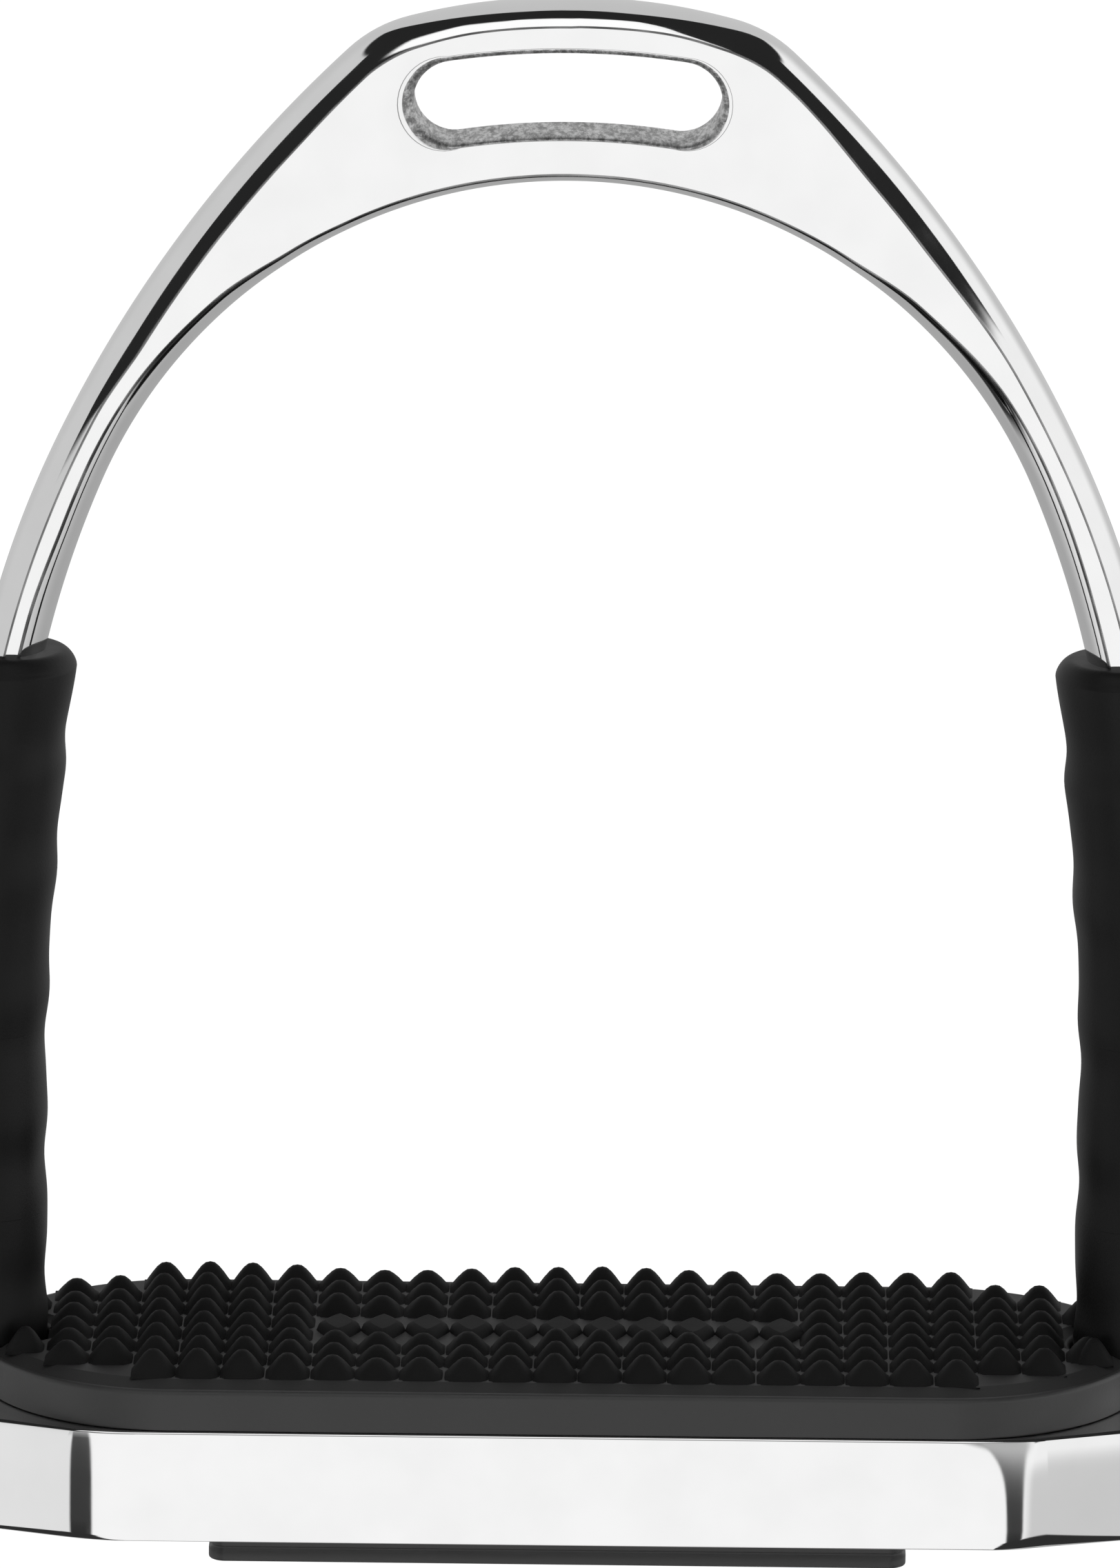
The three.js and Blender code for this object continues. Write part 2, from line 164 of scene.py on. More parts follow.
# (share of the full size, height above the pad) of a lozenge's rings
LOZENGE_RINGS = [(1.0, -0.1), (0.86, 0.8), (0.6, 1.15)]

# The sleeves, which lean in towards the bow's arms near their tops
ARM_X = 67.3
SLEEVE_TOP = 105.3
SLEEVE_HALF_WIDTH = 6.9
SLEEVE_HALF_DEPTH = 7.3
SLEEVE_STRAIGHT_TOP = 58.0
SLEEVE_LEAN = 3.1
SLEEVE_LEAN_POWER = 1.6
SLEEVE_POWER = 2.1
SLEEVE_SIDES = 96
SLEEVE_STEP = 0.7
SEAM = 0.04
# Each stretch of a sleeve, as its bottom, its top and the two heights between which it bends
SLEEVE_STRETCHES = {
    "lower": (17.8, 38.0, (24.0, 37.0)),
    "middle": (38.0, 60.0, (40.0, 52.0)),
    "upper": (60.0, SLEEVE_TOP, (64.0, 84.0)),
}
# Ripples, a bulge round the arm and a flare at the top, with their shares at some heights
RIPPLE = {"height": 0.18, "middle": 50.0, "pitch": 13.6}
FINE_RIPPLE = {"height": 0.05, "pace": 0.83}
RIPPLE_CALM = [(17, 0.0), (26, 1.0), (90, 1.0), (97, 0.0)]
BULGE = 0.5
BULGE_PLACE = [(58, 0.0), (76, 0.5), (92, 1.0), (101, 0.3)]
TOP_FLARE = 0.75
TOP_FLARE_PLACE = [(93, 0.0), (103.6, 1.0), (110, 1.0)]
LIP_START = 103.2
LIP_STEPS = 12
LIP_INWARD = 2.15
LIP_POWER = 0.75
LIP_DEPTH_SHARE = 0.75
BORE_HALF_WIDTH = 5.4
BORE_HALF_DEPTH = 5.8
BORE_POWER = 2.4
BORE_STEPS = 12
GRIP_BOTTOM = 92.0
GRIP_HEIGHT = 1.5
GRIP_BITE = 0.7

# Brightness of the studio's parts, where 1 is plain white
LIGHT = {"ahead": 1.04, "front": 0.35, "ceiling": 0.02, "box": 1.15, "foot": 0.03, "floor": 1.05}
FLOOR_HALF_SIZE = 12.0
FLOOR_GAP = 0.0005
CAMERA = {"azimuth": 0.5, "elevation": 14.0, "roll": 0.5, "distance": 1.5, "lens": 296.1}
CAMERA_AIM = (-0.58, 0, 89.65)


# Meshes


class Shell:
    """The points and faces of one piece, in millimetres."""

    def __init__(self):
        self.points = []
        self.faces = []
        self.materials = []
        self.smooth = []

    def add(self, points):
        first = len(self.points)
        self.points.extend(points)
        return list(range(first, len(self.points)))

    def face(self, corners, material=0, smooth=False):
        self.faces.append(tuple(corners))
        self.materials.append(material)
        self.smooth.append(smooth)

    def strips(self, rows, closed=False, material=0):
        """Smooth quads between neighbouring rows of the same length. Closed rows are loops."""
        for row, after in zip(rows, rows[1:]):
            count = len(row) if closed else len(row) - 1
            for i in range(count):
                j = (i + 1) % len(row)
                self.face((row[i], row[j], after[j], after[i]), material, True)

    def fill(self, loops, axes, material=0):
        """A flat face inside the first loop, less the loops after it."""
        corners = [index for loop in loops for index in loop]
        flat = [[Vector([self.points[i][a] for a in axes] + [0]) for i in loop] for loop in loops]
        for triangle in tessellate_polygon(flat):
            self.face([corners[i] for i in triangle], material)

    def piece(self, name, slot, materials):
        mesh = bpy.data.meshes.new(name)
        mesh.from_pydata([[c * MM for c in point] for point in self.points], [], self.faces)
        mesh.polygons.foreach_set("material_index", self.materials)
        mesh.polygons.foreach_set("use_smooth", self.smooth)
        tidy = bmesh.new()
        tidy.from_mesh(mesh)
        bmesh.ops.recalc_face_normals(tidy, faces=tidy.faces)
        tidy.to_mesh(mesh)
        tidy.free()
        for material in materials:
            mesh.materials.append(material)
        obj = bpy.data.objects.new(name, mesh)
        bpy.context.scene.collection.objects.link(obj)
        return obj

    def take(self, node, height, above):
        """Adds the part of a CAD node above or below a height, closed off by a flat face."""
        cut = bmesh.new()
        cut.from_mesh(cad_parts[node].data)
        bmesh.ops.remove_doubles(cut, verts=cut.verts, dist=1e-6)
        everything = cut.verts[:] + cut.edges[:] + cut.faces[:]
        bmesh.ops.bisect_plane(
            cut,
            geom=everything,
            plane_co=(0, 0, height * MM),
            plane_no=(0, 0, 1),
            clear_inner=above,
            clear_outer=not above,
        )
        rim = [edge for edge in cut.edges if edge.is_boundary]
        bmesh.ops.triangle_fill(cut, edges=rim, use_beauty=True)
        cut.verts.index_update()
        corners = self.add([tuple(c / MM for c in vert.co) for vert in cut.verts])
        for face in cut.faces:
            self.face([corners[vert.index] for vert in face.verts])
        cut.free()


def keep_flats_flat(obj):
    """Large flat faces keep their own normals, and only the rounding beside them bends light."""
    modifier = obj.modifiers.new("flat faces", "WEIGHTED_NORMAL")
    modifier.weight = 100
    modifier.keep_sharp = True


def between(value, knots):
    """Smooth interpolation in a list of (place, value)."""
    for (start, low), (end, high) in zip(knots, knots[1:]):
        if value <= end:
            along = max(0.0, (value - start) / (end - start))
            return low + (high - low) * along * along * (3 - 2 * along)
    return knots[-1][1]


def rounding(edge, steps=5):
    """(inset, height) over a round edge, from the face that it leaves to the wall that it meets."""
    turns = [math.pi / 2 * i / steps for i in range(steps + 1)]
    return [(edge * (1 - math.sin(turn)), edge * (1 - math.cos(turn))) for turn in turns]


# Bow


def arc_chain(top, arcs, lowest):
    """(x, z, heading, length) along arcs that join tangentially, from the middle out and down."""
    x, z, heading, length = 0.0, top, 0.0, 0.0
    stations = [(x, z, heading, length)]
    for radius, turn in arcs:
        steps = math.ceil(radius * math.radians(turn) / STATION_STEP)
        step = math.radians(turn) / steps
        for _ in range(steps):
            chord = 2 * radius * math.sin(step / 2)
            x += chord * math.cos(heading + step / 2)
            z -= chord * math.sin(heading + step / 2)
            heading += step
            length += radius * step
            if z < lowest:
                return stations
            stations.append((x, z, heading, length))
    return stations


def both_ways(stations):
    """The same chain from the left end, over the middle, to the right end."""
    left = [(-x, z, -heading, length) for x, z, heading, length in reversed(stations[1:])]
    return left + stations


def edge_profile(width, tilt, shoulder, bevel, fillet):
    """(inward, y) from the front crease over the outside to the back crease.

    From the middle the section runs level to its shoulder, then bends into a bevel that meets the
    flat face at the crease with that tilt, in degrees. A small fillet ends it.
    """
    lean = Vector((math.cos(math.radians(tilt)), math.sin(math.radians(tilt))))
    crease = Vector((BOW_HALF_DEPTH - fillet * lean.x, width - fillet * lean.y))
    start = Vector((0, 0))
    level = Vector((shoulder, 0))
    before = crease - lean * bevel
    half = []
    for i in range(EDGE_STEPS + 1):
        t = i / EDGE_STEPS
        point = start * (1 - t) ** 3 + level * 3 * t * (1 - t) ** 2
        point += before * 3 * t * t * (1 - t) + crease * t**3
        half.append((point.y, point.x))
    for turned in (0.5, 1.0):
        y = BOW_HALF_DEPTH - fillet * lean.x * (1 - turned) ** 2
        half.append((width + fillet * (turned - lean.y * (1 - turned)), y))
    front = [(inward, -y) for inward, y in reversed(half[1:])]
    return front + half


def edge_band(shell, arcs, top, creases, tilts, shape, outward):
    """Rows of points round one edge of the bow, and the strips between them."""
    rows = []
    for x, z, heading, length in both_ways(arc_chain(top, arcs, ARM_END)):
        crease = creases["right" if x > 0 else "left"]
        normal = (math.sin(heading) * outward, math.cos(heading) * outward)
        profile = edge_profile(between(length, crease), between(length, tilts), **shape)
        row = [(x - normal[0] * inward, y, z - normal[1] * inward) for inward, y in profile]
        rows.append(shell.add(row))
    # The rows at each crease take the third material, the steel with the painted dark line.
    shell.strips([row[:3] for row in rows], material=2)
    shell.strips([row[2:-2] for row in rows])
    shell.strips([row[-3:] for row in rows], material=2)
    return rows


def slot_wall():
    """(x, z, outward x, outward z, end) round the arched slot; end is 1 at its two ends."""
    hub = SLOT_MIDDLE - SLOT_RADIUS
    points = []

    def long_side(sign):
        radius = SLOT_RADIUS + sign * SLOT_HALF_HEIGHT
        for i in range(SLOT_STEPS):
            angle = SLOT_SHIFT + SLOT_HALF_ANGLE * sign * (2 * i / SLOT_STEPS - 1)
            points.append((radius * math.sin(angle), hub + radius * math.cos(angle),
                           sign * math.sin(angle), sign * math.cos(angle), 0.0))

    def round_end(side):
        at = SLOT_SHIFT + side * SLOT_HALF_ANGLE
        x = SLOT_RADIUS * math.sin(at)
        z = hub + SLOT_RADIUS * math.cos(at)
        for i in range(SLOT_STEPS):
            turn = math.pi * i / SLOT_STEPS
            angle = at + (turn if side > 0 else turn + math.pi)
            out_x, out_z = math.sin(angle), math.cos(angle)
            end = math.sin(turn)
            points.append((x + SLOT_HALF_HEIGHT * out_x, z + SLOT_HALF_HEIGHT * out_z, out_x, out_z, end))

    for side in (1, -1):
        long_side(side)
        round_end(side)
    return points


def slot_rows(shell):
    """Loops round the slot from the front face, over the rounded rim, through to the back face."""
    wall = slot_wall()
    profile = [(1.0, 0.0, 0.0), (SLOT_LINE, 0.0, 0.0)]
    profile += [(inset, 1.0, depth) for inset, depth in rounding(1.0, steps=6)]
    rows = []
    for face in (-1, 1):
        for spread, bevelled, depth in reversed(profile) if face > 0 else profile:
            loop = []
            for x, z, out_x, out_z, end in wall:
                long_rim = SLOT_RIM["top" if out_z > 0 else "bottom"]
                end_rim = SLOT_END_RIM["right" if x > 0 else "left"]
                rim = long_rim + (end_rim - long_rim) * end
                bevel = (SLOT_BEVEL + (SLOT_END_BEVEL - SLOT_BEVEL) * end) * bevelled
                out = rim * spread * (1 - bevel)
                y = BOW_HALF_DEPTH - SLOT_BEVEL_SLOPE * bevel * rim - SLOT_RIM_DEPTH * depth
                loop.append((x + out_x * out, face * y, z + out_z * out))
            rows.append(shell.add(loop))
    return rows


def make_bow(steel, cast, crease):
    shell = Shell()
    outer = edge_band(shell, CROWN_ARCS, CROWN_TOP, CROWN_CREASE, CROWN_TILT, CROWN_SHAPE, 1)
    inner = edge_band(shell, ARCH_ARCS, ARCH_TOP, ARCH_CREASE, ARCH_TILT, ARCH_SHAPE, -1)
    slot = slot_rows(shell)
    # The slot's rim lines also take the steel with the painted dark line.
    for line, bevel in ((slot[:2], slot[1:3]), (slot[-2:], slot[-3:-1])):
        shell.strips(line, closed=True, material=2)
        shell.strips(bevel, closed=True)
    shell.strips(slot[2:-2], closed=True, material=1)
    for end in (0, -1):
        outline = [row[end] for row in outer] + [row[end] for row in reversed(inner)]
        shell.fill([outline, slot[end]], axes=(0, 2))
        shell.face(outer[end] + inner[end][::-1])
    shell.take("bow", ARM_END - 1, above=False)
    bow = shell.piece("steel_bow", "polished_steel", [steel, cast, crease])
    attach(bow, "bow")
    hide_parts("bow")


# Tread frame


def rounded_rectangle(half_x, half_y, radius, steps=8):
    """(x, y, outward x, outward y) round a rectangle with round corners."""
    points = []
    for quarter in range(4):
        sign_x = 1 if quarter in (0, 3) else -1
        sign_y = 1 if quarter in (0, 1) else -1
        for i in range(steps + 1):
            angle = math.pi / 2 * (quarter + i / steps)
            out = (math.cos(angle), math.sin(angle))
            x = sign_x * (half_x - radius) + radius * out[0]
            y = sign_y * (half_y - radius) + radius * out[1]
            points.append((x, y, out[0], out[1]))
    return points


def rounded_corner(before, at, after, radius, steps):
    """(x, y, outward x, outward y) round one corner of an outline that runs anticlockwise."""
    back = (Vector(before) - Vector(at)).normalized()
    on = (Vector(after) - Vector(at)).normalized()
    half = back.angle(on) / 2
    centre = Vector(at) + (back + on).normalized() * (radius / math.sin(half))
    start = math.atan2(back.x, -back.y)
    sweep = math.pi - 2 * half
    points = []
    for i in range(steps + 1):
        angle = start + sweep * i / steps
        out = (math.cos(angle), math.sin(angle))
        points.append((centre.x + radius * out[0], centre.y + radius * out[1], out[0], out[1]))
    return points


def worn_corner(side, flare):
    """The two bends, as (x, y, radius), between the front face and the facet beside it.

    The first bend is the rounder one near the top, where the front face is worn. Both bends
    together turn the outline from the face to the facet.
    """
    corner = Vector((CORNER_X - CORNER_SLIDE[side] * flare, -BASE_HALF_DEPTH))
    facet = Vector((BASE_HALF_WIDTH, -END_Y)) - corner
    turn = math.atan2(facet.y, facet.x)
    first, second = turn * FIRST_BEND, turn * (1 - FIRST_BEND)
    radius = CORNER_RADIUS[side] + CORNER_FLARE[side] * flare
    edge_radius = CORNER_RADIUS[side] * (1 - CORNER_TIGHTENING * flare)
    middle = radius * math.tan(first / 2) + edge_radius * math.tan(second / 2)
    on_face = corner - Vector((middle * math.sin(second) / math.sin(turn), 0))
    on_facet = corner + facet.normalized() * (middle * math.sin(first) / math.sin(turn))
    sign = SIDES[side]
    return (sign * on_face.x, on_face.y, radius), (sign * on_facet.x, on_facet.y, edge_radius)


def base_outline(fall):
    """The frame's plan at a depth below its top. Its front face is worn at its two top corners."""
    flare = math.exp(-fall / CORNER_FLARE_DROP)
    left_face, left_facet = worn_corner("left", flare)
    right_face, right_facet = worn_corner("right", flare)
    corners = [
        (BASE_HALF_WIDTH, END_Y, END_RADIUS),
        (CORNER_X, BASE_HALF_DEPTH, CORNER_RADIUS["right"]),
        (-CORNER_X, BASE_HALF_DEPTH, CORNER_RADIUS["left"]),
        (-BASE_HALF_WIDTH, END_Y, END_RADIUS),
        (-BASE_HALF_WIDTH, -END_Y, END_RADIUS),
        left_facet,
        left_face,
        right_face,
        right_facet,
        (BASE_HALF_WIDTH, -END_Y, END_RADIUS),
    ]
    points = []
    for i, (x, y, radius) in enumerate(corners):
        before = corners[i - 1][:2]
        after = corners[(i + 1) % len(corners)][:2]
        bend = rounded_corner(before, (x, y), after, radius, CORNER_STEPS)
        meets = points and math.dist(points[-1][:2], bend[0][:2]) < SAME_POINT
        points += bend[1:] if meets else bend
    return points


def inset_loop(outline, inset, z):
    """An outline moved inwards, at a height."""
    return [(x - out_x * inset, y - out_y * inset, z) for x, y, out_x, out_y in outline]


def rounded_wall(shell, outline, bottom, top, low_edge, high_edge):
    """Loops up a wall whose two edges are rounded by low_edge and high_edge."""
    levels = [(inset, bottom + rise) for inset, rise in rounding(low_edge)]
    levels += [(inset, top - rise) for inset, rise in reversed(rounding(high_edge))]
    rows = [shell.add(inset_loop(outline, inset, z)) for inset, z in levels]
    shell.strips(rows, closed=True)
    return rows


def foot_edge(x, y):
    """Height of the rounding at the frame's bottom edge, which is worn at the two front corners."""
    if y > 0:
        return FOOT_EDGE
    wear = FOOT_WEAR["right" if x > 0 else "left"]
    return FOOT_EDGE + wear * math.exp(-(((abs(x) - FOOT_WEAR_X) / FOOT_WEAR_SPREAD) ** 2))


def base_wall(shell):
    """Loops up the frame's outer wall, from its worn foot to its rounded top edge."""
    rows = []
    for inset, rise in rounding(1.0, steps=10):
        loop = []
        for x, y, out_x, out_y in base_outline(BASE_TOP - BASE_BOTTOM):
            edge = foot_edge(x, y)
            inward = inset * edge * FOOT_ASPECT
            loop.append((x - out_x * inward, y - out_y * inward, BASE_BOTTOM + rise * edge))
        rows.append(shell.add(loop))
    low, high = BASE_BOTTOM + 2 * FOOT_EDGE + FOOT_WEAR["right"], BASE_TOP - TOP_EDGE
    levels = [(0.0, low + (high - low) * i / CORNER_LEVELS) for i in range(CORNER_LEVELS)]
    levels += [(inset, BASE_TOP - rise) for inset, rise in reversed(rounding(TOP_EDGE))]
    rows += [shell.add(inset_loop(base_outline(BASE_TOP - z), inset, z)) for inset, z in levels]
    shell.strips(rows, closed=True)
    return rows


def make_base(steel):
    shell = Shell()
    outside = base_wall(shell)
    window = [(x, y, -out_x, -out_y) for x, y, out_x, out_y in rounded_rectangle(*WINDOW)]
    inside = rounded_wall(shell, window, BASE_BOTTOM, BASE_TOP, WINDOW_EDGE, WINDOW_EDGE)
    for end in (0, -1):
        shell.fill([outside[end], inside[end]], axes=(0, 1))
    shell.take("tread_base", POST_FOOT, above=True)
    base = shell.piece("steel_tread_frame", "polished_steel", [steel])
    keep_flats_flat(base)
    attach(base, "base")
    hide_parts("tread_base")


# Rubber pad


def pad_outline():
    """The tread's plan: round ends, each with a half-round notch for its sleeve."""
    notch_x = SLEEVE_HALF_WIDTH + NOTCH_GAP
    notch_y = SLEEVE_HALF_DEPTH + NOTCH_GAP
    tip = math.asin(notch_y / PAD_END_RADIUS)
    right = []
    for i in range(PAD_END_STEPS + 1):
        angle = -math.pi / 2 + (math.pi / 2 - tip) * i / PAD_END_STEPS
        out = (math.cos(angle), math.sin(angle))
        right.append((PAD_END_X + PAD_END_RADIUS * out[0], PAD_END_RADIUS * out[1], out[0], out[1]))
    for i in range(1, PAD_END_STEPS):
        angle = -math.pi / 2 - math.pi * i / PAD_END_STEPS
        out = Vector((math.cos(angle) * notch_y, math.sin(angle) * notch_x)).normalized()
        right.append((ARM_X + notch_x * math.cos(angle), notch_y * math.sin(angle), -out[0], -out[1]))
    right += [(x, -y, out_x, -out_y) for x, y, out_x, out_y in reversed(right[: PAD_END_STEPS + 1])]
    left = [(-x, -y, -out_x, -out_y) for x, y, out_x, out_y in right]
    return right + left


def stud_fits(x, y):
    """Whether a stud stays on the pad, out of the sleeves' notches and off the middle panel."""
    half = STUD_PITCH / 2 - STUD_OVERHANG
    beyond = max(0.0, abs(x) + half - PAD_END_X)
    outer = math.sqrt(max(0.0, PAD_END_RADIUS**2 - beyond**2)) - STUD_BORDER
    notch_x = (abs(x) - ARM_X) / (SLEEVE_HALF_WIDTH + NOTCH_GAP)
    notch_y = (abs(y) - half) / (SLEEVE_HALF_DEPTH + NOTCH_GAP)
    clear = abs(x) + half < ARM_X - SLEEVE_HALF_WIDTH - NOTCH_GAP or notch_x**2 + notch_y**2 > 1
    on_panel = abs(x) < PANEL_HALF_WIDTH and abs(y) < PANEL_HALF_DEPTH
    return abs(y) + half < outer and clear and not on_panel


def stud_height(u, v):
    """Height of a rounded pyramid, 1 at its tip and 0 at its square foot."""
    square = (abs(u) ** STUD_POWER + abs(v) ** STUD_POWER) ** (1 / STUD_POWER)
    foot = math.hypot(1, STUD_TIP)
    return max(0.0, (foot - math.hypot(square, STUD_TIP)) / (foot - STUD_TIP))


def add_stud(shell, x, y, width, height, base=PAD_TOP - STUD_SINK):
    rows = []
    for j in range(STUD_GRID + 1):
        v = 2 * j / STUD_GRID - 1
        row = []
        for i in range(STUD_GRID + 1):
            u = 2 * i / STUD_GRID - 1
            row.append((x + u * width / 2, y + v * width / 2, base + height * stud_height(u, v)))
        rows.append(shell.add(row))
    shell.strips(rows, material=1)
    right_edge = [row[-1] for row in rows[1:-1]]
    left_edge = [row[0] for row in rows[-2:0:-1]]
    shell.face(rows[0] + right_edge + rows[-1][::-1] + left_edge, material=1)


def add_studs(shell):
    """Rows of studs of slightly uneven place and height, and one more beside each notch's sides."""
    draw = random.Random(STUD_SEED)
    for column in range(-STUD_COLUMNS, STUD_COLUMNS + 1):
        for row in range(-STUD_ROWS, STUD_ROWS):
            x = STUD_SHIFT + column * STUD_PITCH + draw.uniform(-STUD_DRIFT, STUD_DRIFT)
            y = (row + 0.5) * STUD_PITCH + draw.uniform(-STUD_DRIFT, STUD_DRIFT)
            wave = STUD_WAVE["height"] * math.cos((column - 1) * STUD_WAVE["pace"])
            wave *= 1 - column / STUD_WAVE["fade"]
            height = STUD_HEIGHT + wave + draw.uniform(-STUD_DRIFT, STUD_DRIFT)
            if stud_fits(x, y):
                add_stud(shell, x, y, STUD_WIDTH, height)
    for side in SIDES.values():
        for face in (-1, 1):
            x, y = side * END_STUD["x"], face * END_STUD["y"]
            add_stud(shell, x, y, END_STUD["width"], END_STUD["height"], END_STUD["base"])


def add_lozenges(shell):
    """A row of raised lozenges across the middle of the studs."""
    power = LOZENGE["power"]
    for i in range(-LOZENGE["count"], LOZENGE["count"] + 1):
        x = i * LOZENGE["pitch"]
        rings = []
        for share, rise in LOZENGE_RINGS:
            half_x, half_y = LOZENGE["half_width"] * share, LOZENGE["half_depth"] * share
            ring = []
            for k in range(LOZENGE["sides"]):
                angle = 2 * math.pi * k / LOZENGE["sides"]
                cos, sin = math.cos(angle), math.sin(angle)
                reach = 1 / (abs(cos) ** power + abs(sin) ** power) ** (1 / power)
                ring.append((x + half_x * reach * cos, half_y * reach * sin, PAD_TOP + rise))
            rings.append(shell.add(ring))
        shell.strips(rings, closed=True, material=1)
        shell.face(rings[0], material=1)
        shell.face(rings[-1], material=1)


def add_tread(shell):
    """The pad's body. Its wall rounds over to a ledge that rises to the field of studs."""
    outline = pad_outline()
    ledge = PAD_TOP - LEDGE_DROP
    levels = [(inset, PAD_BOTTOM + rise) for inset, rise in rounding(PAD_FOOT_EDGE)]
    levels += [(inset, ledge - rise) for inset, rise in reversed(rounding(PAD_EDGE))]
    rows = [shell.add(inset_loop(outline, inset, z)) for inset, z in levels]
    shell.strips(rows, closed=True)
    field = [(x * FIELD_SHRINK[0], y * FIELD_SHRINK[1], PAD_TOP) for x, y, _, _ in outline]
    shell.fill([rows[0]], axes=(0, 1))
    top = shell.add(field)
    shell.strips([rows[-1], top], closed=True, material=2)
    shell.fill([top], axes=(0, 1), material=2)


def add_flange(shell):
    """The neck through the frame's window, and the flange below, with a groove round its edge."""
    neck_bottom, neck_top = FLANGE_TOP - NECK_OVERLAP, PAD_BOTTOM + NECK_OVERLAP
    neck = rounded_wall(shell, rounded_rectangle(*NECK), neck_bottom, neck_top, NECK_EDGE, NECK_EDGE)
    outline = rounded_rectangle(*FLANGE)
    levels = rounding(FLANGE_EDGE) + FLANGE_GROOVE
    levels += [(inset, FLANGE_TOP - rise) for inset, rise in reversed(rounding(FLANGE_EDGE))]
    flange = [shell.add(inset_loop(outline, inset, z)) for inset, z in levels]
    shell.strips(flange, closed=True)
    for part in (neck, flange):
        for end in (0, -1):
            shell.fill([part[end]], axes=(0, 1))


def make_pad(wall_rubber, stud_rubber, field_rubber):
    shell = Shell()
    add_tread(shell)
    add_flange(shell)
    add_studs(shell)
    add_lozenges(shell)
    # The wall, stud and field rubbers differ in tone by painted light and painted shade.
    pad = shell.piece("studded_rubber_pad", "pad_rubber", [wall_rubber, stud_rubber, field_rubber])
    keep_flats_flat(pad)
    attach(pad, "base")
    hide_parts("tread_pad")


# Rubber sleeves


def sleeve_middle(z):
    """How far from the stirrup's middle a sleeve's own middle stands, at a height."""
    along = max(0.0, (z - SLEEVE_STRAIGHT_TOP) / (SLEEVE_TOP - SLEEVE_STRAIGHT_TOP))
    return ARM_X - SLEEVE_LEAN * along**SLEEVE_LEAN_POWER


def sleeve_swell(z, side):
    """How far the sleeve stands out from its plain section, where the joints inside press on it."""
    swell = RIPPLE["height"] * math.cos((z - RIPPLE["middle"] + side) * 2 * math.pi / RIPPLE["pitch"])
    swell += FINE_RIPPLE["height"] * math.sin(z * FINE_RIPPLE["pace"] + side)
    swell += BULGE * between(z, BULGE_PLACE)
    return swell * between(z, RIPPLE_CALM) + TOP_FLARE * between(z, TOP_FLARE_PLACE)


def sleeve_loop(side, z, half_width, half_depth, power):
    """A level loop round a sleeve's middle, nearly an ellipse. A higher power makes it squarer."""
    points = []
    for i in range(SLEEVE_SIDES):
        angle = 2 * math.pi * i / SLEEVE_SIDES
        cos, sin = math.cos(angle), math.sin(angle)
        x = half_width * math.copysign(abs(cos) ** (2 / power), cos)
        y = half_depth * math.copysign(abs(sin) ** (2 / power), sin)
        points.append((side * (sleeve_middle(z) + x), y, z))
    return points


def sleeve_outside(side, z):
    swell = sleeve_swell(z, side)
    return sleeve_loop(side, z, SLEEVE_HALF_WIDTH + swell, SLEEVE_HALF_DEPTH + swell, SLEEVE_POWER)


def arm_at(z):
    """Middle and half width of the steel arm, level across, at a height."""
    edges = []
    for top, arcs in ((CROWN_TOP, CROWN_ARCS), (ARCH_TOP, ARCH_ARCS)):
        x, height, heading, _ = arc_chain(top, arcs, z)[-1]
        edges.append(x + (height - z) / math.tan(heading))
    return sum(edges) / 2, (edges[0] - edges[1]) / 2


def sleeve_inside(side, z):
    """The bore, which closes on the arm below the sleeve's top and bites into it a little."""
    if z < GRIP_BOTTOM:
        return sleeve_loop(side, z, BORE_HALF_WIDTH, BORE_HALF_DEPTH, BORE_POWER)
    closed = between(z, [(GRIP_BOTTOM, 0.0), (SLEEVE_TOP - GRIP_HEIGHT, 1.0), (SLEEVE_TOP, 1.0)])
    middle, arm_half_width = arm_at(z)
    half_width = BORE_HALF_WIDTH + closed * (arm_half_width - GRIP_BITE - BORE_HALF_WIDTH)
    half_depth = BORE_HALF_DEPTH + closed * (BOW_HALF_DEPTH - GRIP_BITE - BORE_HALF_DEPTH)
    shift = (middle - sleeve_middle(z)) * closed
    loop = sleeve_loop(side, z, half_width, half_depth, BORE_POWER)
    return [(x + side * shift, y, z) for x, y, z in loop]


def sleeve_lip(side):
    """Loops over the rounded top of a sleeve, from the outside to the inside."""
    loops = []
    for i in range(1, LIP_STEPS + 1):
        turn = math.pi / 2 * i / LIP_STEPS
        z = LIP_START + (SLEEVE_TOP - LIP_START) * math.sin(turn)
        swell = sleeve_swell(LIP_START, side) - LIP_INWARD * (1 - math.cos(turn)) ** LIP_POWER
        half_depth = SLEEVE_HALF_DEPTH + swell * LIP_DEPTH_SHARE
        loops.append(sleeve_loop(side, z, SLEEVE_HALF_WIDTH + swell, half_depth, SLEEVE_POWER))
    return loops


def sleeve_heights(bottom, top):
    """Heights of the loops outside. One close to each end keeps the shading even over the seams."""
    steps = math.ceil((top - bottom) / SLEEVE_STEP)
    heights = [bottom + (top - bottom) * i / steps for i in range(steps + 1)]
    return [bottom, bottom + SEAM, *heights[1:-1], top - SEAM, top]


def make_sleeve(side, name, bottom, top, bend, material):
    """One stretch of a sleeve."""
    shell = Shell()
    heights = sleeve_heights(bottom, min(top, LIP_START))
    outside = [shell.add(sleeve_outside(side, z)) for z in heights]
    if top > LIP_START:
        outside += [shell.add(loop) for loop in sleeve_lip(side)]
    depths = [bottom + (top - bottom) * i / BORE_STEPS for i in range(BORE_STEPS + 1)]
    inside = [shell.add(sleeve_inside(side, z)) for z in depths]
    shell.strips(outside, closed=True)
    shell.strips(inside, closed=True)
    for end in (0, -1):
        for i in range(SLEEVE_SIDES):
            j = (i + 1) % SLEEVE_SIDES
            shell.face((outside[end][i], outside[end][j], inside[end][j], inside[end][i]))
    sleeve = shell.piece(name, "sleeve_rubber", [material])
    middle = side * ARM_X * MM
    end = (middle, 0, bend[1] * MM)
    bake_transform(sleeve)
    return sleeve


